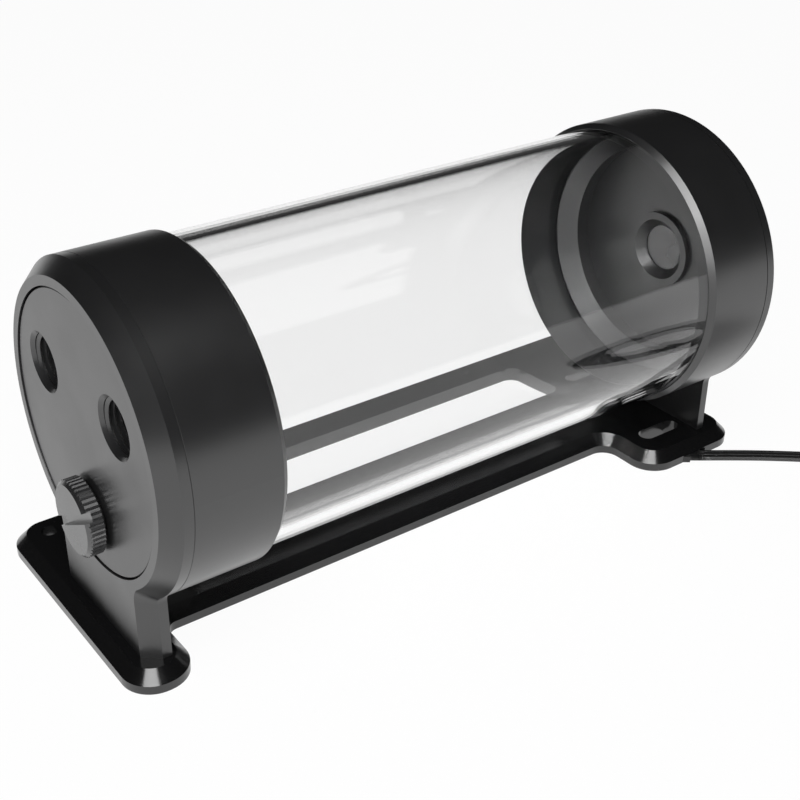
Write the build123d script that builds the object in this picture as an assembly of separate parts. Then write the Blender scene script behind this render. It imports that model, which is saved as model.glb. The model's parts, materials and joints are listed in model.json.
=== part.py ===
from build123d import *
from math import atan2, cos, degrees, hypot, pi, radians, sin, tan
import os

# Tube reservoir lying on a base plate: a clear tube closed by two black caps,
# held between two upright brackets that stand on an open frame.
# Millimetres, +Z up, the floor is z = 0. The tube lies along Y, filling ports at -Y.
# The origin is on the floor, at the middle of the object without its cable.

# Tube and its height
axis_height = 55.3
tube_radius = 38.5
tube_wall = 3.0

# Caps
cap_radius = 40.0
front_cap_length = 23.1
rear_cap_length = 21.5
cap_end_wall = 6.55
cap_rim_depth = 2.6
cap_rim_slope = 1.5
cap_spigot_length = 6.45
cap_spigot_land = 0.4
cap_mouth_radius = 30.6
disc_setback = 0.35
disc_gap = 0.3
edge_break = 0.25

# Brackets
bracket_thickness = 6.4
bracket_hole_radius = 34.0
bracket_edge_band = 2.8
bracket_chamfer = 4.0
pedestal_half_width = 22.7
pedestal_fillet = 3.0

# Base frame
base_length = 198.1
base_thickness = 5.2
base_bevel = 2.9
base_reach_left = 48.3
base_reach_right = 27.7
base_corner = 8.0
front_ledge = 5.3
rear_ledge = 5.9
front_bar = 16.6
rear_bar = 36.0
right_rail_outer = 9.0
right_rail_width = 20.7
left_rail_width = 13.0
front_window_setback = 21.3
rear_window_setback = 34.8
window_corner = 4.0
front_inner_fillet = 3.0
rear_inner_fillet = 5.0

# Holes through the base, measured from the tube's axis and the base's ends
corner_hole_radius = 2.15
corner_hole_inset = (8.2, 8.8)
rear_slot_width = 4.9
rear_slot_length = 14.5
rear_slot_offset = 16.0
rear_slot_inset = 21.5
rail_slot_width = 3.0
rail_slot_length = 10.6
rail_slot_inset = (6.3, 53.3)
rail_hole_radius = 2.25
rail_hole_inset = (6.9, 34.1)

# Screws that hold each bracket, from under the base
screw_spread = 14.0
screw_radius = 1.45
screw_length = 13.0
screw_head_radius = 2.7
screw_head_height = 2.6
screw_hex_radius = 1.4
screw_hex_depth = 1.4

# Ports and plugs, quarter-inch pipe thread
port_radius = 6.58
port_mouth = 0.87
port_pitch_radius = 20.8
port_angles = (30, 150)
plug_angle = 270
rear_boss_radius = 10.9
rear_boss_height = 1.3
rear_port_bevel = 2.3
thread_clearance = 0.08
plug_thread_length = 6.3
plug_head_radius = 9.4
plug_head_height = 4.15
plug_head_gap = 1.05
plug_head_chamfer = 0.9
plug_slot_width = 2.4
plug_slot_depth = 1.8
plug_slot_angle = 30
knurl_count = 44
knurl_depth = 0.35
plug_seal_section = 0.8

# Sealing ring between each cap and the tube
seal_section = 1.05
seal_place = 2.1
seal_slack = 0.3

# Clearances
fit_clearance = 0.1
slip_clearance = 0.15
seal_clearance = 0.05

# Light strip in a channel under the right rail, measured from the rail's outer edge
light_inset = 6.5
light_channel_width = 7.2
light_channel_depth = 3.0
light_channel_setback = 25.3
light_channel_rear_inset = 42.8
light_board_width = 6.4
light_board_thickness = 0.8
light_board_margin = 2.0
diode_side = 5.0
diode_height = 1.3
diode_pitch = 10.0
diffuser_thickness = 0.6
diffuser_end_gap = 2.0
joint_radius = 0.45
joint_spacing = 1.5

# Flat three-core cable. It starts under the light board, turns across the rear bar, and
# leaves at the base's right edge. Its free route is measured from that exit.
cable_width = 4.5
cable_thickness = 1.5
cable_lift = 0.1
cable_channel_slack = 0.4
cable_channel_depth = 2.0
cable_bend = 6.5
cable_exit_bend = 13.0
cable_start_inset = 9.0
cable_corner_inset = 31.8
cable_turn_reach = 18.2
cable_exit_reach = 0.6
cable_exit_inset = 17.3
cable_route = ((7.94, 11.4), (16.7, 22.5), (26.3, 33.8), (34.6, 46.4))
cable_end_run = 9.0
grommet_length = 4.5
coil_turns = 2.75
coil_pitch = 4.8
coil_outer_turn = 31.0
coil_lift = 0.4
tie_width = 4.0
tie_thickness = 0.3
tie_angle = 20
connector_length = 12.0
connector_width = 7.8
connector_height = 3.4
connector_pin_radius = 0.55
connector_pin_depth = 6.0
connector_pin_pitch = 2.25

# Places that follow from the sizes above
axis_x = (base_reach_left - cap_radius) / 2
base_left = axis_x - base_reach_left
base_right = axis_x + base_reach_right
base_front = -base_length / 2
base_rear = base_length / 2
front_face = base_front + front_ledge
rear_face = base_rear - rear_ledge
tube_bore = tube_radius - tube_wall
disc_radius = bracket_hole_radius - disc_gap
disc_inner = disc_setback + cap_end_wall
groove_floor = bracket_thickness + cap_rim_depth
spigot_radius = tube_bore - slip_clearance
seal_ring_radius = tube_bore - seal_clearance - seal_section
seal_groove_radius = seal_ring_radius - seal_section - seal_clearance
seal_groove_width = 2 * seal_section + seal_slack
seal_depth = groove_floor + seal_place
right_rail_inner = axis_x + right_rail_outer - right_rail_width
left_rail_inner = base_left + left_rail_width
light_line = axis_x + right_rail_outer - light_inset
light_start = base_front + light_channel_setback
light_end = base_rear - light_channel_rear_inset
light_middle = (light_start + light_end) / 2
cable_start_y = light_end - cable_start_inset


def face_from(points, corners):
    """A flat face in the floor plane; corners maps a point's number to its radius."""
    outline = make_face(Polyline(*points, close=True))
    for number, radius in corners.items():
        spot = Vector(*points[number])
        vertex = sorted(outline.vertices(), key=lambda v: (Vector(v) - spot).length)[0]
        outline = fillet(vertex, radius)
    return outline


def at_end(shape, rear=False):
    """Place a piece made along +Y from its bracket's outer face, in front or turned for the rear."""
    if rear:
        shape = mirror(shape, about=Plane.XZ)
    face_y = rear_face if rear else front_face
    return Pos(axis_x, face_y, axis_height) * shape


def turned(points):
    """A solid of revolution about Y from radius and depth pairs."""
    return revolve(make_face(Polyline(*points, close=True)), Axis.Y)


def rod(radius, start, length):
    """A round rod along +Y."""
    return Pos(0, start + length / 2, 0) * Rot(X=90) * Cylinder(radius, length)


def upright(radius, height, x, y, z):
    """A round rod along +Z, standing on z."""
    return Pos(x, y, z + height / 2) * Cylinder(radius, height)


def ring(major, section, y):
    """A sealing ring round Y."""
    return Pos(0, y, 0) * Rot(X=90) * Torus(major, section)


def base_plate():
    """The open frame, with its slots, its screw seats and the channels underneath."""
    rail_outer = axis_x + right_rail_outer
    front_inner = base_front + front_bar
    rear_inner = base_rear - rear_bar
    outline = [
        (base_left, base_front),
        (base_right, base_front),
        (base_right, front_inner),
        (rail_outer, front_inner),
        (rail_outer, rear_inner),
        (base_right, rear_inner),
        (base_right, base_rear),
        (base_left, base_rear),
    ]
    corners = {number: base_corner for number in (0, 1, 2, 5, 6, 7)}
    corners[3] = front_inner_fillet
    corners[4] = rear_inner_fillet
    plate = extrude(face_from(outline, corners), base_thickness)
    top = plate.faces().sort_by(Axis.Z)[-1]
    plate = chamfer(top.edges(), base_bevel)
    window_front = base_front + front_window_setback
    window_rear = base_rear - rear_window_setback
    window = [
        (left_rail_inner, window_front),
        (right_rail_inner, window_front),
        (right_rail_inner, window_rear),
        (left_rail_inner, window_rear),
    ]
    plate -= extrude(face_from(window, {number: window_corner for number in range(4)}), base_thickness)
    plate -= upright(corner_hole_radius, base_thickness,
                     base_left + corner_hole_inset[0], base_front + corner_hole_inset[1], 0)
    plate -= upright(rail_hole_radius, base_thickness,
                     base_left + rail_hole_inset[0], base_rear - rail_hole_inset[1], 0)
    slots = [
        (axis_x - rear_slot_offset, base_rear - rear_slot_inset, rear_slot_length, rear_slot_width),
        (axis_x + rear_slot_offset, base_rear - rear_slot_inset, rear_slot_length, rear_slot_width),
        (base_left + rail_slot_inset[0], base_rear - rail_slot_inset[1], rail_slot_length, rail_slot_width),
    ]
    for x, y, length, width in slots:
        slot = extrude(SlotOverall(length, width, rotation=90), base_thickness / 2, both=True)
        plate -= Pos(x, y, base_thickness / 2) * slot
    for x, y in screw_places():
        plate -= upright(screw_radius + slip_clearance, base_thickness, x, y, 0)
        plate -= upright(screw_head_radius + slip_clearance, screw_seat_height(), x, y, 0)
    plate -= light_channel()
    channel_width = cable_width + 2 * cable_channel_slack
    wire = inner_cable_wire(base_corner)
    plate -= cable_strip(wire, channel_width, 0, cable_channel_depth)
    return plate


def screw_seat_height():
    """How deep each screw's head sits in the base."""
    return screw_head_height + slip_clearance


def screw_places(rear=None):
    """Plan places of the bracket screws: all, or those of one bracket."""
    rows = []
    if rear is not True:
        rows.append(front_face + bracket_thickness / 2)
    if rear is not False:
        rows.append(rear_face - bracket_thickness / 2)
    return [(axis_x + side * screw_spread, y) for y in rows for side in (-1, 1)]


def bracket(rear):
    """An upright ring on a pedestal, with a wide chamfer round its outer face."""
    foot = base_thickness - axis_height
    below = foot - 2 * bracket_chamfer
    side_joint = -(cap_radius ** 2 - pedestal_half_width ** 2) ** 0.5
    shape = Circle(cap_radius) + Pos(0, below / 2) * Rectangle(2 * pedestal_half_width, -below)
    joints = shape.vertices().filter_by(lambda v: abs(v.Y - side_joint) < edge_break)
    shape = fillet(joints, pedestal_fillet)
    plate = extrude(Plane.XZ * shape, -bracket_thickness)
    outer = plate.faces().sort_by(Axis.Y)[0]
    plate = chamfer(outer.edges(), bracket_thickness - bracket_edge_band, bracket_chamfer, reference=outer)
    waste = Box(4 * cap_radius, 2 * bracket_thickness, 2 * (foot - below))
    plate -= Pos(0, bracket_thickness / 2, below) * waste
    plate -= rod(bracket_hole_radius, 0, bracket_thickness)
    thread = screw_length + screw_seat_height() - base_thickness
    for side in (-1, 1):
        plate -= upright(screw_radius + seal_clearance, thread + slip_clearance,
                         side * screw_spread, bracket_thickness / 2, foot)
    return at_end(plate, rear)


def bracket_screws(rear):
    """The two socket screws that hold one bracket down on the base."""
    screws = []
    for x, y in screw_places(rear):
        head = upright(screw_head_radius, screw_head_height, x, y, slip_clearance)
        socket = RegularPolygon(screw_hex_radius, 6)
        head -= Pos(x, y, slip_clearance) * extrude(socket, screw_hex_depth)
        shank = upright(screw_radius, screw_length, x, y, slip_clearance + screw_head_height)
        screws.append(head + shank)
    return Compound(screws)


def cap_length(rear):
    """How far a cap's collar reaches along the tube."""
    return rear_cap_length if rear else front_cap_length


def port_cut(x, z):
    """A port's bore and the bevel at its mouth."""
    bore = rod(port_radius, 0, disc_inner + rear_boss_height)
    reach = port_radius + port_mouth + disc_setback
    mouth = turned([(0, 0), (reach, 0), (port_radius, reach - port_radius), (0, reach - port_radius)])
    return Pos(x, 0, z) * (bore + mouth)


def rear_port_mouth():
    """The wide bevel round the rear port, inside the tube."""
    top = disc_inner + rear_boss_height
    reach = port_radius + rear_port_bevel
    return turned([(0, top), (reach, top), (port_radius, top - rear_port_bevel), (0, top - rear_port_bevel)])


def port_place(angle):
    """A front port's place round the tube's axis."""
    return (port_pitch_radius * cos(radians(angle)), port_pitch_radius * sin(radians(angle)))


def cap(rear):
    """A cap: disc in the bracket's hole, collar over the tube, and spigot inside it."""
    end = bracket_thickness + cap_length(rear)
    skirt = tube_radius + fit_clearance
    spigot_end = groove_floor + cap_spigot_length
    land = spigot_radius - cap_spigot_land
    profile = [
        (0, disc_setback),
        (disc_radius - edge_break, disc_setback),
        (disc_radius, disc_setback + edge_break),
        (disc_radius, bracket_thickness),
        (cap_radius - edge_break, bracket_thickness),
        (cap_radius, bracket_thickness + edge_break),
        (cap_radius, end - cap_rim_slope),
        (skirt + edge_break / 2, end),
        (skirt, end),
        (skirt, groove_floor),
        (spigot_radius, groove_floor),
        (spigot_radius, spigot_end),
        (land, spigot_end),
        (cap_mouth_radius, spigot_end - (land - cap_mouth_radius)),
        (cap_mouth_radius, disc_inner),
        (0, disc_inner),
    ]
    body = turned(profile)
    outside = rod(spigot_radius + slip_clearance, seal_depth - seal_groove_width / 2, seal_groove_width)
    inside = rod(seal_groove_radius, seal_depth - seal_groove_width / 2, seal_groove_width)
    body -= outside - inside
    if rear:
        body += rod(rear_boss_radius, disc_inner, rear_boss_height)
        body -= port_cut(0, 0)
        body -= rear_port_mouth()
    else:
        for angle in port_angles + (plug_angle,):
            body -= port_cut(*port_place(angle))
    return at_end(body, rear)


def tube():
    """The clear tube, seated in the grooves of both caps."""
    start = front_face + groove_floor + fit_clearance
    stop = rear_face - groove_floor - fit_clearance
    pipe = rod(tube_radius, start, stop - start) - rod(tube_bore, start, stop - start)
    return Pos(axis_x, 0, axis_height) * pipe


def tube_seal(rear):
    """The sealing ring on a cap's spigot."""
    return at_end(ring(seal_ring_radius, seal_section, seal_depth), rear)


def plug_seal_radius():
    """The middle radius of the ring under a plug's head."""
    return port_radius - thread_clearance + fit_clearance + plug_seal_section


def plug_place(rear):
    """A plug's place across the cap: low in front, in the middle at the rear."""
    return (0, 0) if rear else port_place(plug_angle)


def plug(rear):
    """A knurled plug with a coin slot: its thread is drawn as a plain shank."""
    shank = port_radius - thread_clearance
    underside = disc_setback - plug_head_gap
    top = underside - plug_head_height
    edge = plug_head_radius - plug_head_chamfer
    head = turned([(0, top), (edge, top), (plug_head_radius, top + plug_head_chamfer),
                   (plug_head_radius, underside), (0, underside)])
    notch = Pos(plug_head_radius, 0, 0) * Rot(Y=45) * Box(knurl_side(), 2 * plug_head_height, knurl_side())
    for number in range(knurl_count):
        head -= Pos(0, top + plug_head_height / 2, 0) * Rot(Y=360 * number / knurl_count) * notch
    recess = plug_seal_radius() + plug_seal_section + fit_clearance
    deep = 2 * plug_seal_section + fit_clearance + fit_clearance - plug_head_gap
    head -= rod(recess, underside - deep, deep)
    body = head + rod(shank, underside - deep - edge_break, plug_thread_length + deep + edge_break)
    slot = Box(4 * plug_head_radius, 2 * plug_slot_depth, plug_slot_width)
    body -= Pos(0, top, 0) * Rot(Y=-plug_slot_angle) * slot
    x, z = plug_place(rear)
    return at_end(Pos(x, 0, z) * body, rear)


def knurl_side():
    """The side of the square bar that cuts one knurl notch."""
    return knurl_depth * 2 ** 0.5


def plug_seal(rear):
    """The sealing ring under a plug's head."""
    x, z = plug_place(rear)
    y = disc_setback - fit_clearance - plug_seal_section
    return at_end(Pos(x, 0, z) * ring(plug_seal_radius(), plug_seal_section, y), rear)


def light_channel():
    """The space under the right rail that holds the light strip."""
    shape = Box(light_channel_width, light_end - light_start, light_channel_depth)
    return Pos(light_line, light_middle, light_channel_depth / 2) * shape


def light_board():
    """The light strip's circuit board, against the channel's ceiling."""
    length = light_end - light_start - 2 * light_board_margin
    shape = Box(light_board_width, length, light_board_thickness)
    return Pos(light_line, light_middle, light_channel_depth - light_board_thickness / 2) * shape


def light_diodes():
    """The row of light diodes, facing down."""
    ceiling = light_channel_depth - light_board_thickness
    first = light_start + light_board_margin + diode_side
    chips = []
    for number in range(int((cable_start_y - light_start) / diode_pitch)):
        chip = Box(diode_side, diode_side, diode_height)
        well = Cylinder(diode_side / 3, diode_height / 4)
        well = Pos(0, 0, -diode_height / 2) * well
        place = Pos(light_line, first + number * diode_pitch, ceiling - diode_height / 2)
        chips.append(place * (chip - well))
    return Compound(chips)


def light_diffuser():
    """The milky strip that closes the channel, just above the floor."""
    width = light_channel_width - 2 * fit_clearance
    start = light_start + fit_clearance
    length = cable_start_y - diffuser_end_gap - start
    shape = Box(width, length, diffuser_thickness)
    return Pos(light_line, start + length / 2, fit_clearance + diffuser_thickness / 2) * shape


def wire_joints():
    """The soldered ends of the three cores under the board."""
    bottom = cable_lift + cable_thickness
    top = light_channel_depth - light_board_thickness
    y = cable_start_y + joint_spacing
    places = [(light_line + side * joint_spacing, y) for side in (-1, 0, 1)]
    return Compound([upright(joint_radius, top - bottom, x, y, bottom) for x, y in places])


def inner_cable_points():
    """The held stretch of the cable, from the light board to the base's edge."""
    bar = base_rear - cable_corner_inset
    return [(light_line, cable_start_y), (light_line, bar), (axis_x + cable_turn_reach, bar), cable_exit()]


def cable_exit():
    """Where the cable leaves the base."""
    return (base_right + cable_exit_reach, base_rear - cable_exit_inset)


def inner_cable_wire(extra=0):
    """Straight runs joined by arcs, under the rear bar, drawn on past the end by extra."""
    points = inner_cable_points()
    end = Vector(*points[-1])
    heading = (end - Vector(*points[-2])).normalized()
    last = end + heading * extra
    return FilletPolyline(*points[:-1], (last.X, last.Y), radius=[cable_bend, cable_exit_bend])


def cable_strip(wire, width, bottom, height):
    """A flat strip along a wire in the floor plane."""
    start = wire @ 0
    heading = wire % 0
    section = Plane(origin=start, x_dir=(-heading.Y, heading.X, 0), z_dir=heading)
    strip = sweep(section * Pos(0, bottom + height / 2) * Rectangle(width, height), path=wire)
    return strip


def cable_inner_run():
    """The cable in its channel."""
    return cable_strip(inner_cable_wire(), cable_width, cable_lift, cable_thickness)


def cable_grommet():
    """The rubber block round the cable at the base's edge."""
    before, end = (Vector(*point) for point in inner_cable_points()[-2:])
    heading = (end - before).normalized()
    angle = degrees(atan2(heading.Y, heading.X))
    width = cable_width + 2 * cable_channel_slack - 2 * seal_clearance
    height = cable_channel_depth - seal_clearance - cable_lift
    block = Pos(0, 0, cable_lift + height / 2) * Box(grommet_length, width, height)
    hole = Box(2 * grommet_length, cable_width + 2 * seal_clearance, cable_thickness + seal_clearance)
    block -= Pos(0, 0, cable_lift + (cable_thickness + seal_clearance) / 2) * hole
    back = end - heading * (grommet_length + cable_channel_slack)
    return Pos(back.X, back.Y, 0) * Rot(Z=angle) * block


def lead_points():
    """The free stretch of the cable, from the base's edge to the coil."""
    x, y = cable_exit()
    return [(x, y)] + [(x + across, y + along) for across, along in cable_route]


def run_radii(points):
    """Each bend's radius: 0.45 of its shorter run over the tangent of half the turn."""
    radii = []
    for before, here, after in zip(points, points[1:], points[2:]):
        run_in = Vector(here[0] - before[0], here[1] - before[1])
        run_out = Vector(after[0] - here[0], after[1] - here[1])
        half_turn = radians(run_in.get_angle(run_out)) / 2
        radii.append(0.45 * min(run_in.length, run_out.length) / tan(half_turn))
    return radii


def cable_lead():
    """The free cable on the floor."""
    points = lead_points()
    radii = run_radii(points)
    print("cable bends", [round(radius, 1) for radius in radii])
    wire = FilletPolyline(*points, radius=radii)
    strip = cable_strip(wire, cable_width, cable_lift, cable_thickness)
    print("cable lead length", round(wire.length, 1), "volume over section",
          round(strip.volume / (cable_width * cable_thickness), 1))
    return strip


def coil_centre():
    """The coil turns right from the end of the lead."""
    end = lead_points()[-1]
    before = lead_points()[-2]
    run = hypot(end[0] - before[0], end[1] - before[1])
    side = ((end[1] - before[1]) / run, -(end[0] - before[0]) / run)
    return (end[0] + side[0] * coil_outer_turn, end[1] + side[1] * coil_outer_turn)


def coil_inner_turn():
    """The radius of the coil's last turn."""
    return coil_outer_turn - coil_turns * coil_pitch


def coil_low():
    """The height of the coil's underside."""
    return cable_lift + coil_lift


def coil_top():
    """The height on which the cable's end lies."""
    return coil_low() + cable_thickness + seal_clearance


def cable_coil():
    """The outer shape of the flat coil."""
    x, y = coil_centre()
    outside = coil_outer_turn + cable_width / 2
    inside = coil_inner_turn() - cable_width / 2
    disc = upright(outside, cable_thickness, x, y, coil_low())
    return disc - upright(inside, cable_thickness, x, y, coil_low())


def cable_tie():
    """The tie that holds the coil's turns together."""
    x, y = coil_centre()
    outside = coil_outer_turn + cable_width / 2 + seal_clearance
    inner_edge = coil_inner_turn() - cable_width / 2
    inside = (inner_edge ** 2 - (tie_width / 2) ** 2) ** 0.5 - seal_clearance
    span = outside - inside
    height = cable_thickness + 2 * seal_clearance
    loop = Box(span + 2 * tie_thickness, tie_width, height + 2 * tie_thickness)
    loop -= Box(span, 2 * tie_width, height)
    middle = coil_low() + cable_thickness / 2
    return Pos(x, y, middle) * Rot(Z=tie_angle) * Pos(inside + span / 2, 0, 0) * loop


def at_coil_end(shape, along, across):
    """Place a piece made along +X at the end of the coil's last turn, on top of the coil."""
    end = lead_points()[-1]
    x, y = coil_centre()
    angle = atan2(end[1] - y, end[0] - x) - 2 * pi * coil_turns
    radius = coil_inner_turn()
    spot = Pos(x + radius * cos(angle), y + radius * sin(angle), coil_top())
    return spot * Rot(Z=degrees(angle) - 90) * Pos(along, across, 0) * shape


def cable_end():
    """The cable's last stretch, across the top of the coil."""
    strip = Pos(0, 0, cable_thickness / 2) * Box(cable_end_run, cable_width, cable_thickness)
    return at_coil_end(strip, cable_end_run / 2, 0)


def cable_connector():
    """A plain three-way socket on the cable's end, lying on the coil."""
    body = Box(connector_length, connector_width, connector_height)
    body = chamfer(body.edges().filter_by(Axis.X), 2 * edge_break)
    for side in (-1, 0, 1):
        hole = Rot(Y=90) * Cylinder(connector_pin_radius, connector_pin_depth)
        body -= Pos((connector_length - connector_pin_depth) / 2, side * connector_pin_pitch, 0) * hole
    body = Pos(0, 0, connector_height / 2) * body
    return at_coil_end(body, cable_end_run + connector_length / 2, 0)


pieces = {
    "base_plate": base_plate(),
    "front_bracket": bracket(False),
    "rear_bracket": bracket(True),
    "front_bracket_screws": bracket_screws(False),
    "rear_bracket_screws": bracket_screws(True),
    "front_cap": cap(False),
    "rear_cap": cap(True),
    "tube": tube(),
    "fill_plug": plug(False),
    "fill_plug_seal": plug_seal(False),
    "rear_plug": plug(True),
    "rear_plug_seal": plug_seal(True),
    "front_tube_seal": tube_seal(False),
    "rear_tube_seal": tube_seal(True),
    "light_board": light_board(),
    "light_diodes": light_diodes(),
    "light_diffuser": light_diffuser(),
    "wire_joints": wire_joints(),
    "cable_inner_run": cable_inner_run(),
    "cable_grommet": cable_grommet(),
    "cable_lead": cable_lead(),
    "cable_coil": cable_coil(),
    "cable_end": cable_end(),
    "cable_tie": cable_tie(),
    "cable_connector": cable_connector(),
}

os.makedirs("parts", exist_ok=True)
for name, shape in pieces.items():
    export_step(shape, "parts/" + name + ".step")
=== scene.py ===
import json
from math import atan2, cos, pi, radians, sin

import bmesh
import bpy
from mathutils import Matrix, Vector


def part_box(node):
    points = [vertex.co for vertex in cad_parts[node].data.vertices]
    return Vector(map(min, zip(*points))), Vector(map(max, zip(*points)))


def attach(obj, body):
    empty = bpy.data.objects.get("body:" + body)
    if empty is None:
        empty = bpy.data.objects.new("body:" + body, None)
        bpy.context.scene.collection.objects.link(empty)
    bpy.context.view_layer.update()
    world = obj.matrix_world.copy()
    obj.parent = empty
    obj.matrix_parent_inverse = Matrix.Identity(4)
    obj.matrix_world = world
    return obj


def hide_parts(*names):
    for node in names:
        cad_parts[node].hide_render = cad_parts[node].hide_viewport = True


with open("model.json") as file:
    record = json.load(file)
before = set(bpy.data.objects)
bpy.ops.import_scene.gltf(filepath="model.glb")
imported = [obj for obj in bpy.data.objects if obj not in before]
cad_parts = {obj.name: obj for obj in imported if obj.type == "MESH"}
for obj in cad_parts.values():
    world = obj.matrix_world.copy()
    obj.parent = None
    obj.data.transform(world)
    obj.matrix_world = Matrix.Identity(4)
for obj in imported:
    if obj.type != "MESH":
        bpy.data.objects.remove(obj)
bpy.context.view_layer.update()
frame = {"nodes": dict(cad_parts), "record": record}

# Everything is in metres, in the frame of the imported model.
MM = 0.001

# Camera, fitted to the photograph
CAMERA_PLACE = (0.25014, -0.18749, 0.20899)
CAMERA_TARGET = (0.03230, -0.02692, 0.05528)
CAMERA_ROLL = radians(-0.48)
CAMERA_LENS = 60.31
CAMERA_SENSOR = 36.0
CAMERA_NEAR = 0.01
CAMERA_FAR = 50.0

# The cable's route, as in the part's source: from the tube's axis and the base's front edge
AXIS_X = 4.15 * MM
BASE_FRONT = -99.05 * MM
HELD_ROUTE = ((2.5, 146.3), (2.5, 166.3), (18.2, 166.3), (28.3, 180.8))
FREE_ROUTE = ((28.3, 180.8), (36.24, 192.2), (45.0, 203.3), (54.6, 214.6), (62.9, 227.2))
ROUTE_RESOLUTION = 8

# The cable: three cores side by side, and how far round each core's arc goes
CABLE_THICKNESS = 1.5 * MM
CABLE_LIFT = 0.1 * MM
CORES = 3
CORE_STEPS = 10
CORE_OUTER_REACH = radians(90)
CORE_INNER_REACH = radians(50)

# The put-away coil, and the cable's end that lies across it
COIL_LIFT = 0.4 * MM
COIL_GAP = 0.05 * MM
COIL_TURNS = 2.75
COIL_PITCH = 4.8 * MM
COIL_OUTER = 31.0 * MM
COIL_STEPS = 16
END_RUN = 9.0 * MM
END_SHARES = (0.35, 0.65, 1.0)

# Ports and their threads; a share is a half width over the pitch
PORT_RADIUS = 6.58 * MM
PORT_PITCH_RADIUS = 20.8 * MM
PORT_ANGLES = {"right": 30, "left": 150}
THREAD_CREST = 5.75 * MM
THREAD_PITCH = 1.337 * MM
THREAD_START = 1.0 * MM
THREAD_LENGTH = 5.3 * MM
THREAD_GAP = 0.01 * MM
THREAD_FOOT_SHARE = 0.46
THREAD_CREST_SHARE = 0.07
THREAD_STEPS = 64
THREAD_RISE = 8.0
THREAD_END_HEIGHT = 0.05
THREAD_SHARP = radians(40)

# Tube
TUBE_WALL = 3.0 * MM
TUBE_EDGE = 0.3 * MM
TUBE_STEPS = 256
TUBE_SHARP = radians(30)
TUBE_IOR = 1.49
TUBE_MIRROR = 0.25
TUBE_SHADOW = (0.93, 0.94, 0.94)
RIPPLE_SCALE = 25
RIPPLE_DETAIL = 2
RIPPLE_DEPTH = 0.006 * MM

# Finishes: texture scales, bump depths, and how far gloss strays from its middle value
NOISE_LOW = 0.35
NOISE_HIGH = 0.65
CLOUD_SCALE = 60
CLOUD_DETAIL = 4
CLOUD_SPREAD = 0.08
GRAIN_SCALE = 5200
GRAIN_DETAIL = 2
GRAIN_DEPTH = 0.004 * MM
DARK_TINT = 1.05
LIGHT_TINT = 1.04
PLAIN_IOR = 1.5
PLAIN_DETAIL = 3
PLAIN_DEPTH = 0.01 * MM
PLAIN_SPREAD = 0.15
WEAVE_SCALE = 500
WEAVE_DEPTH = 0.1 * MM
WEAVE_ROUGHNESS = 0.8

# Room: a white floor, a faintly lit low horizon, dark above
FLOOR_REACH = 6.0
FLOOR_DROP = 0.05 * MM
FLOOR_COLOR = 0.9
FLOOR_GLOW = 0.95
ROOM_DARK = 0.012
HORIZON_GLOW = 0.10
HORIZON_RISE = (0.0, 0.25)
LAMP_SIZE = 0.8
LAMP_TARGET = (0, 0, 0.05)
KEY_PLACE = (0.5, -0.45, 1.0)
KEY_POWER = 12.0
FILL_PLACE = (1.0, -0.6, 0.6)
FILL_POWER = 8.0


def grey(value):
    """An even grey."""
    return (value, value, value)


def new_material(name):
    """An empty node material with its output; returns nodes, a link function and the output."""
    material = bpy.data.materials.new(name)
    material.use_nodes = True
    tree = material.node_tree
    tree.nodes.clear()
    output = tree.nodes.new("ShaderNodeOutputMaterial")
    return material, tree.nodes, tree.links.new, output


def principled(nodes, **values):
    """A Principled shader with plain values on its own sockets."""
    shader = nodes.new("ShaderNodeBsdfPrincipled")
    for name, value in values.items():
        shader.inputs[name.replace("_", " ")].default_value = value
    return shader


def noise(nodes, link, scale, detail):
    """A noise texture in object coordinates."""
    texture = nodes.new("ShaderNodeTexNoise")
    texture.inputs["Scale"].default_value = scale
    texture.inputs["Detail"].default_value = detail
    link(nodes.new("ShaderNodeTexCoord").outputs["Object"], texture.inputs["Vector"])
    return texture.outputs["Fac"]


def remap(nodes, link, source, low, high, source_low=NOISE_LOW, source_high=NOISE_HIGH):
    """Map a texture's usual range to a low and a high value."""
    node = nodes.new("ShaderNodeMapRange")
    node.inputs["From Min"].default_value = source_low
    node.inputs["From Max"].default_value = source_high
    node.inputs["To Min"].default_value = low
    node.inputs["To Max"].default_value = high
    link(source, node.inputs["Value"])
    return node.outputs["Result"]


def vary(nodes, link, source, value, spread):
    """A value that strays by a share to either side with a texture."""
    return remap(nodes, link, source, value * (1 - spread), value * (1 + spread))


def mix_colors(nodes, link, factor, first, second):
    """Mix two colours by a texture. The colour sockets share their names, so they go by number."""
    node = nodes.new("ShaderNodeMix")
    node.data_type = "RGBA"
    node.inputs[6].default_value = (*first, 1)
    node.inputs[7].default_value = (*second, 1)
    link(factor, node.inputs[0])
    return node.outputs[2]


def bump(nodes, link, height, distance):
    """A bump from a height texture, its distance in metres."""
    node = nodes.new("ShaderNodeBump")
    node.inputs["Strength"].default_value = 1.0
    node.inputs["Distance"].default_value = distance
    link(height, node.inputs["Height"])
    return node.outputs["Normal"]


def anodised(name, roughness, ior, dark, light):
    """Black anodised aluminium, bead-blasted: a fine grain and soft cloudy changes of gloss."""
    material, nodes, link, output = new_material(name)
    shader = principled(nodes, IOR=ior)
    clouds = noise(nodes, link, CLOUD_SCALE, CLOUD_DETAIL)
    grains = noise(nodes, link, GRAIN_SCALE, GRAIN_DETAIL)
    first = (dark, dark, dark * DARK_TINT)
    second = (light, light, light * LIGHT_TINT)
    link(mix_colors(nodes, link, grains, first, second), shader.inputs["Base Color"])
    link(vary(nodes, link, clouds, roughness, CLOUD_SPREAD), shader.inputs["Roughness"])
    link(bump(nodes, link, grains, GRAIN_DEPTH), shader.inputs["Normal"])
    link(shader.outputs["BSDF"], output.inputs["Surface"])
    return material


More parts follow.
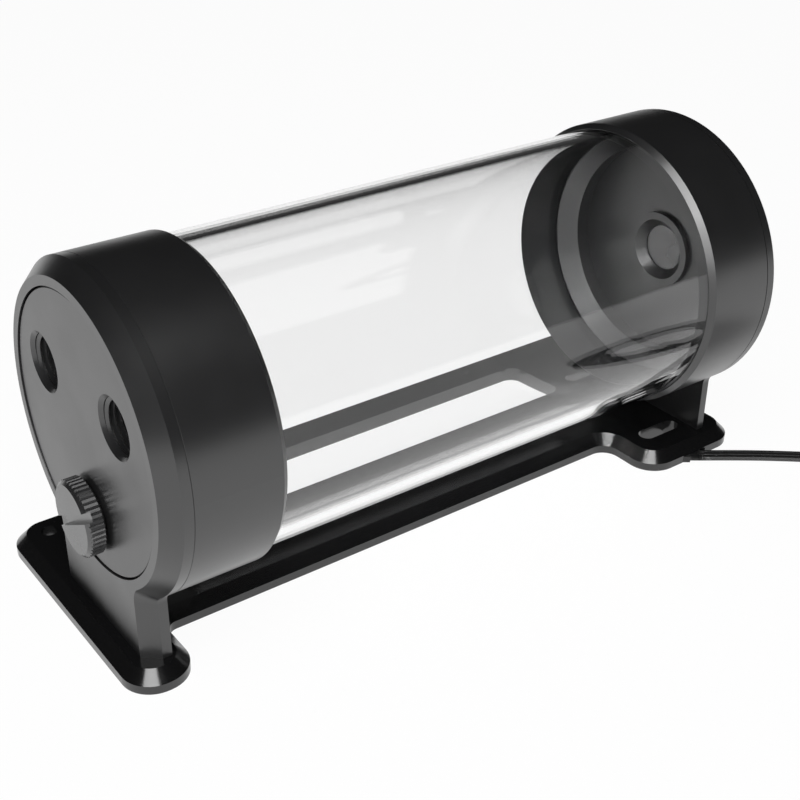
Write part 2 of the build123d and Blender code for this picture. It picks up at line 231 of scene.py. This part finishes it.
def clear_plastic(name):
    """Polished clear tube with faint draw lines and a pale shadow; its mirror is at half strength."""
    material, nodes, link, output = new_material(name)
    shader = principled(nodes, Base_Color=(1, 1, 1, 1), Roughness=0.0, IOR=TUBE_IOR,
                        Transmission_Weight=1.0, Specular_IOR_Level=TUBE_MIRROR)
    ripple = noise(nodes, link, RIPPLE_SCALE, RIPPLE_DETAIL)
    link(bump(nodes, link, ripple, RIPPLE_DEPTH), shader.inputs["Normal"])
    clear = nodes.new("ShaderNodeBsdfTransparent")
    clear.inputs["Color"].default_value = (*TUBE_SHADOW, 1)
    path = nodes.new("ShaderNodeLightPath")
    mix = nodes.new("ShaderNodeMixShader")
    link(path.outputs["Is Shadow Ray"], mix.inputs["Fac"])
    link(shader.outputs["BSDF"], mix.inputs[1])
    link(clear.outputs["BSDF"], mix.inputs[2])
    link(mix.outputs["Shader"], output.inputs["Surface"])
    return material


def plain_finish(name, first, second, roughness, scale, metallic=0.0):
    """A moulded, rubber or metal finish: two close colours and a fine bump from one noise."""
    material, nodes, link, output = new_material(name)
    shader = principled(nodes, Metallic=metallic, IOR=PLAIN_IOR)
    texture = noise(nodes, link, scale, PLAIN_DETAIL)
    link(mix_colors(nodes, link, texture, first, second), shader.inputs["Base Color"])
    link(vary(nodes, link, texture, roughness, PLAIN_SPREAD), shader.inputs["Roughness"])
    link(bump(nodes, link, texture, PLAIN_DEPTH), shader.inputs["Normal"])
    link(shader.outputs["BSDF"], output.inputs["Surface"])
    return material


def woven(name):
    """A black woven tie: two crossed waves raise its threads."""
    material, nodes, link, output = new_material(name)
    shader = principled(nodes, Roughness=WEAVE_ROUGHNESS)
    coordinates = nodes.new("ShaderNodeTexCoord").outputs["Object"]
    threads = nodes.new("ShaderNodeMath")
    threads.operation = "MULTIPLY"
    for number, direction in enumerate(("X", "Y")):
        wave = nodes.new("ShaderNodeTexWave")
        wave.bands_direction = direction
        wave.inputs["Scale"].default_value = WEAVE_SCALE
        link(coordinates, wave.inputs["Vector"])
        link(wave.outputs["Fac"], threads.inputs[number])
    height = threads.outputs["Value"]
    link(mix_colors(nodes, link, height, grey(0.008), grey(0.03)), shader.inputs["Base Color"])
    link(bump(nodes, link, height, WEAVE_DEPTH), shader.inputs["Normal"])
    link(shader.outputs["BSDF"], output.inputs["Surface"])
    return material


MATERIALS = {
    "black_metal": anodised("black_metal", 0.32, 1.85, 0.007, 0.012),
    "bracket_metal": anodised("bracket_metal", 0.30, 1.85, 0.007, 0.012),
    "base_metal": anodised("base_metal", 0.16, 1.7, 0.003, 0.006),
    "plug_metal": anodised("plug_metal", 0.26, 2.0, 0.010, 0.018),
    "clear_tube": clear_plastic("clear_tube"),
    "seal_rubber": plain_finish("seal_rubber", grey(0.010), grey(0.020), 0.5, 900),
    "screw_steel": plain_finish("screw_steel", grey(0.05), grey(0.08), 0.35, 1500, metallic=1.0),
    "board": plain_finish("board", (0.008, 0.009, 0.010), (0.02, 0.02, 0.022), 0.4, 700),
    "diode": plain_finish("diode", (0.82, 0.80, 0.72), (0.88, 0.86, 0.80), 0.25, 400),
    "diffuser": plain_finish("diffuser", grey(0.85), grey(0.92), 0.45, 600),
    "solder": plain_finish("solder", grey(0.6), grey(0.75), 0.25, 900, metallic=1.0),
    "cable_sheath": plain_finish("cable_sheath", grey(0.008), grey(0.014), 0.38, 1200),
    "tie": woven("tie"),
    "connector_plastic": plain_finish("connector_plastic", grey(0.012), grey(0.022), 0.45, 1600),
}


def finish_cad_nodes():
    """Give every CAD node its slot's material."""
    slots = {part["node"]: part["material_slot"] for part in frame["record"]["subparts"]}
    for name, node in frame["nodes"].items():
        node.data.materials.clear()
        node.data.materials.append(MATERIALS[slots[name]])


def new_piece(name, mesh, slot, body):
    """Link a mesh as a piece with its slot's material, riding on a body."""
    piece = bpy.data.objects.new(name, mesh)
    bpy.context.scene.collection.objects.link(piece)
    mesh.materials.append(MATERIALS[slot])
    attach(piece, body)
    return piece


def mesh_from(name, points, faces, smooth=True):
    """A mesh with its normals turned outward."""
    mesh = bpy.data.meshes.new(name)
    mesh.from_pydata(points, [], faces)
    made = bmesh.new()
    made.from_mesh(mesh)
    bmesh.ops.recalc_face_normals(made, faces=made.faces)
    made.to_mesh(mesh)
    made.free()
    for polygon in mesh.polygons:
        polygon.use_smooth = smooth
    return mesh


def joined_rings(here, after, count):
    """The faces between two rings of count points, from their first points' numbers."""
    faces = []
    for number in range(count):
        following = (number + 1) % count
        faces.append((here + number, here + following, after + following, after + number))
    return faces


def make_camera():
    """The photograph's camera."""
    data = bpy.data.cameras.new("camera")
    data.lens = CAMERA_LENS
    data.sensor_width = CAMERA_SENSOR
    data.sensor_fit = "HORIZONTAL"
    data.clip_start = CAMERA_NEAR
    data.clip_end = CAMERA_FAR
    camera = bpy.data.objects.new("camera", data)
    bpy.context.scene.collection.objects.link(camera)
    back = (Vector(CAMERA_PLACE) - Vector(CAMERA_TARGET)).normalized()
    right = Vector((0, 0, 1)).cross(back).normalized()
    up = back.cross(right)
    turn = Matrix.Rotation(-CAMERA_ROLL, 3, back)
    right, up = turn @ right, turn @ up
    rotation = Matrix((right, up, back)).transposed().to_4x4()
    camera.matrix_world = Matrix.Translation(CAMERA_PLACE) @ rotation
    bpy.context.scene.camera = camera


def on_floor(point, height):
    """A route point in the frame, at a height."""
    return Vector((AXIS_X + point[0] * MM, BASE_FRONT + point[1] * MM, height))


def around(centre, radius, angle, height):
    """A point round a centre in the floor plane, at a height."""
    return Vector((centre.x + radius * cos(angle), centre.y + radius * sin(angle), height))


def smooth_line(name, points):
    """The points of a NURBS spline that has the given control points."""
    data = bpy.data.curves.new(name, "CURVE")
    data.dimensions = "3D"
    data.resolution_u = ROUTE_RESOLUTION
    spline = data.splines.new("NURBS")
    spline.points.add(len(points) - 1)
    for place, point in zip(spline.points, points):
        place.co = (*point, 1)
    spline.order_u = 3
    spline.use_endpoint_u = True
    carrier = bpy.data.objects.new(name, data)
    bpy.context.scene.collection.objects.link(carrier)
    bpy.context.view_layer.update()
    line_mesh = bpy.data.meshes.new_from_object(carrier)
    line = [vertex.co.copy() for vertex in line_mesh.vertices]
    bpy.data.objects.remove(carrier)
    bpy.data.meshes.remove(line_mesh)
    bpy.data.curves.remove(data)
    return line


def ribbon_section():
    """The outline of the cores side by side: across and up, in metres."""
    radius = CABLE_THICKNESS / 2
    outline = []
    for row in (1, -1):
        for number in range(CORES):
            middle = (number - (CORES - 1) / 2) * CABLE_THICKNESS * row
            first = CORE_OUTER_REACH if number == 0 else CORE_INNER_REACH
            last = CORE_OUTER_REACH if number == CORES - 1 else CORE_INNER_REACH
            for step in range(CORE_STEPS + 1):
                angle = -first + (first + last) * step / CORE_STEPS
                across = middle + radius * sin(angle) * row
                outline.append((across, radius * cos(angle) * row))
    return outline


def ribbon(name, line):
    """A flat three-core cable along a line, lying flat."""
    section = ribbon_section()
    points, faces = [], []
    for number, place in enumerate(line):
        before = line[max(number - 1, 0)]
        after = line[min(number + 1, len(line) - 1)]
        heading = (after - before).normalized()
        side = heading.cross(Vector((0, 0, 1))).normalized()
        up = side.cross(heading)
        points += [place + side * across + up * height for across, height in section]
    count = len(section)
    for number in range(len(line) - 1):
        faces += joined_rings(number * count, (number + 1) * count, count)
    faces.append(tuple(range(count - 1, -1, -1)))
    faces.append(tuple(range(len(points) - count, len(points))))
    return mesh_from(name, points, faces)


def free_cable_points():
    """The free cable's control points: the lead, the coil's turns and the run across the coil."""
    low = CABLE_LIFT + CABLE_THICKNESS / 2
    points = [on_floor(point, low) for point in FREE_ROUTE]
    end, before = points[-1], points[-2]
    side = (end - before).normalized().cross(Vector((0, 0, 1)))
    centre = end + side * COIL_OUTER
    start = atan2(end.y - centre.y, end.x - centre.x)
    coil_height = CABLE_LIFT + COIL_LIFT + CABLE_THICKNESS / 2
    top_height = CABLE_LIFT + COIL_LIFT + 1.5 * CABLE_THICKNESS + COIL_GAP
    # The spline passes inside its control points, by 3/4 of a point and 1/8 of each neighbour
    swell = 1 / (0.75 + 0.25 * cos(2 * pi / COIL_STEPS))
    for step in range(1, round(COIL_TURNS * COIL_STEPS) + 1):
        angle = start - 2 * pi * step / COIL_STEPS
        radius = COIL_OUTER - COIL_PITCH * step / COIL_STEPS
        points.append(around(centre, swell * radius, angle, coil_height))
    last = start - 2 * pi * COIL_TURNS
    stop = around(centre, COIL_OUTER - COIL_TURNS * COIL_PITCH, last, top_height)
    along = Vector((sin(last), -cos(last), 0))
    points += [stop + along * END_RUN * share for share in END_SHARES]
    return points


def cable():
    """The free cable and its held stretch under the base."""
    low = CABLE_LIFT + CABLE_THICKNESS / 2
    line = smooth_line("cable_route", free_cable_points())
    free = new_piece("free_cable", ribbon("free_cable", line), "cable_sheath", "reservoir")
    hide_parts("cable_lead", "cable_coil", "cable_end")
    held_line = smooth_line("held_route", [on_floor(point, low) for point in HELD_ROUTE])
    held = new_piece("held_cable", ribbon("held_cable", held_line), "cable_sheath", "reservoir")
    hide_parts("cable_inner_run")


def tube_axis():
    """The tube's axis: its place across and up."""
    low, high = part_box("tube")
    return (low[0] + high[0]) / 2, (low[2] + high[2]) / 2


def glass_tube():
    """The clear tube as one smooth turned wall with softened ends."""
    low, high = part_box("tube")
    middle_x, middle_z = tube_axis()
    outer = (high[0] - low[0]) / 2
    inner = outer - TUBE_WALL
    profile = [
        (outer - TUBE_EDGE, low[1]),
        (outer, low[1] + TUBE_EDGE),
        (outer, high[1] - TUBE_EDGE),
        (outer - TUBE_EDGE, high[1]),
        (inner + TUBE_EDGE, high[1]),
        (inner, high[1] - TUBE_EDGE),
        (inner, low[1] + TUBE_EDGE),
        (inner + TUBE_EDGE, low[1]),
    ]
    points, faces = [], []
    count = len(profile)
    for step in range(TUBE_STEPS):
        angle = 2 * pi * step / TUBE_STEPS
        points += [(middle_x + r * cos(angle), y, middle_z + r * sin(angle)) for r, y in profile]
        faces += joined_rings(step * count, (step + 1) % TUBE_STEPS * count, count)
    mesh = mesh_from("glass_tube", points, faces)
    mesh.set_sharp_from_angle(angle=TUBE_SHARP)
    tube = new_piece("glass_tube", mesh, "clear_tube", "reservoir")
    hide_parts("tube")


def port_thread(name, angle):
    """The thread inside a port: one helical ridge on the bore's wall, running out at both ends."""
    axis_x, axis_z = tube_axis()
    middle_x = axis_x + PORT_PITCH_RADIUS * cos(radians(angle))
    middle_z = axis_z + PORT_PITCH_RADIUS * sin(radians(angle))
    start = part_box("front_cap")[0][1] + THREAD_START
    root = PORT_RADIUS - THREAD_GAP
    section = [
        (root, -THREAD_FOOT_SHARE),
        (THREAD_CREST, -THREAD_CREST_SHARE),
        (THREAD_CREST, THREAD_CREST_SHARE),
        (root, THREAD_FOOT_SHARE),
    ]
    count = len(section)
    turns = THREAD_LENGTH / THREAD_PITCH
    steps = round(turns * THREAD_STEPS)
    points, faces = [], []
    for step in range(steps + 1):
        spin = 2 * pi * turns * step / steps
        run_out = min(1.0, THREAD_RISE * min(step, steps - step) / steps + THREAD_END_HEIGHT)
        along = start + THREAD_LENGTH * step / steps
        for radius, share in section:
            r = root - (root - radius) * run_out
            points.append((middle_x + r * cos(spin), along + share * THREAD_PITCH, middle_z - r * sin(spin)))
    for step in range(steps):
        faces += joined_rings(step * count, (step + 1) * count, count)
    faces.append(tuple(range(count)))
    faces.append(tuple(range(steps * count, (steps + 1) * count)))
    mesh = mesh_from(name, points, faces)
    mesh.set_sharp_from_angle(angle=THREAD_SHARP)
    new_piece(name, mesh, "black_metal", "reservoir")


def seen_directly(nodes, link, strength):
    """A factor for rays that see the floor straight, mirrored or through the tube."""
    path = nodes.new("ShaderNodeLightPath")
    total = path.outputs["Is Camera Ray"]
    for name in ("Is Glossy Ray", "Is Transmission Ray"):
        add = nodes.new("ShaderNodeMath")
        add.operation = "MAXIMUM"
        link(total, add.inputs[0])
        link(path.outputs[name], add.inputs[1])
        total = add.outputs["Value"]
    scale = nodes.new("ShaderNodeMath")
    scale.operation = "MULTIPLY"
    scale.inputs[1].default_value = strength
    link(total, scale.inputs[0])
    return scale.outputs["Value"]


def make_floor():
    """A white floor that glows where it is seen and keeps a faint shadow."""
    reach = FLOOR_REACH
    corners = [(-reach, -reach, 0), (reach, -reach, 0), (reach, reach, 0), (-reach, reach, 0)]
    mesh = mesh_from("floor", corners, [(0, 1, 2, 3)], smooth=False)
    floor = bpy.data.objects.new("floor", mesh)
    bpy.context.scene.collection.objects.link(floor)
    floor.location.z = -FLOOR_DROP
    material, nodes, link, output = new_material("floor")
    diffuse = nodes.new("ShaderNodeBsdfDiffuse")
    diffuse.inputs["Color"].default_value = (*grey(FLOOR_COLOR), 1)
    glow = nodes.new("ShaderNodeEmission")
    glow.inputs["Strength"].default_value = 1.0
    mix = nodes.new("ShaderNodeMixShader")
    link(seen_directly(nodes, link, FLOOR_GLOW), mix.inputs["Fac"])
    link(diffuse.outputs["BSDF"], mix.inputs[1])
    link(glow.outputs["Emission"], mix.inputs[2])
    link(mix.outputs["Shader"], output.inputs["Surface"])
    mesh.materials.append(material)


def room_glow(nodes, link):
    """The room's strength by height: faint at the horizon, dark above it."""
    heading = nodes.new("ShaderNodeTexCoord").outputs["Generated"]
    parts = nodes.new("ShaderNodeSeparateXYZ")
    link(heading, parts.inputs["Vector"])
    return remap(nodes, link, parts.outputs["Z"], HORIZON_GLOW, ROOM_DARK, *HORIZON_RISE)


def make_world():
    """A world that is white to the camera, and a dark room to every other ray."""
    world = bpy.data.worlds.new("world")
    bpy.context.scene.world = world
    world.use_nodes = True
    nodes, link = world.node_tree.nodes, world.node_tree.links.new
    nodes.clear()
    backdrop = nodes.new("ShaderNodeBackground")
    backdrop.inputs["Color"].default_value = (1, 1, 1, 1)
    room = nodes.new("ShaderNodeBackground")
    link(room_glow(nodes, link), room.inputs["Strength"])
    path = nodes.new("ShaderNodeLightPath")
    mix = nodes.new("ShaderNodeMixShader")
    shown = nodes.new("ShaderNodeOutputWorld")
    link(path.outputs["Is Camera Ray"], mix.inputs["Fac"])
    link(room.outputs["Background"], mix.inputs[1])
    link(backdrop.outputs["Background"], mix.inputs[2])
    link(mix.outputs["Shader"], shown.inputs["Surface"])


def soft_light(name, place, power):
    """A square soft light that faces the object."""
    data = bpy.data.lights.new(name, "AREA")
    data.size = LAMP_SIZE
    data.energy = power
    light = bpy.data.objects.new(name, data)
    bpy.context.scene.collection.objects.link(light)
    light.location = place
    aim = Vector(LAMP_TARGET) - Vector(place)
    light.rotation_euler = aim.to_track_quat("-Z", "Y").to_euler()


def stage():
    """The floor, the world and two soft lights beside the camera."""
    make_floor()
    make_world()
    soft_light("key_light", KEY_PLACE, KEY_POWER)
    soft_light("fill_light", FILL_PLACE, FILL_POWER)
    bpy.context.scene.view_settings.view_transform = "Standard"


make_camera()
cable()
finish_cad_nodes()
glass_tube()
for side, angle in PORT_ANGLES.items():
    port_thread("port_thread_" + side, angle)
stage()
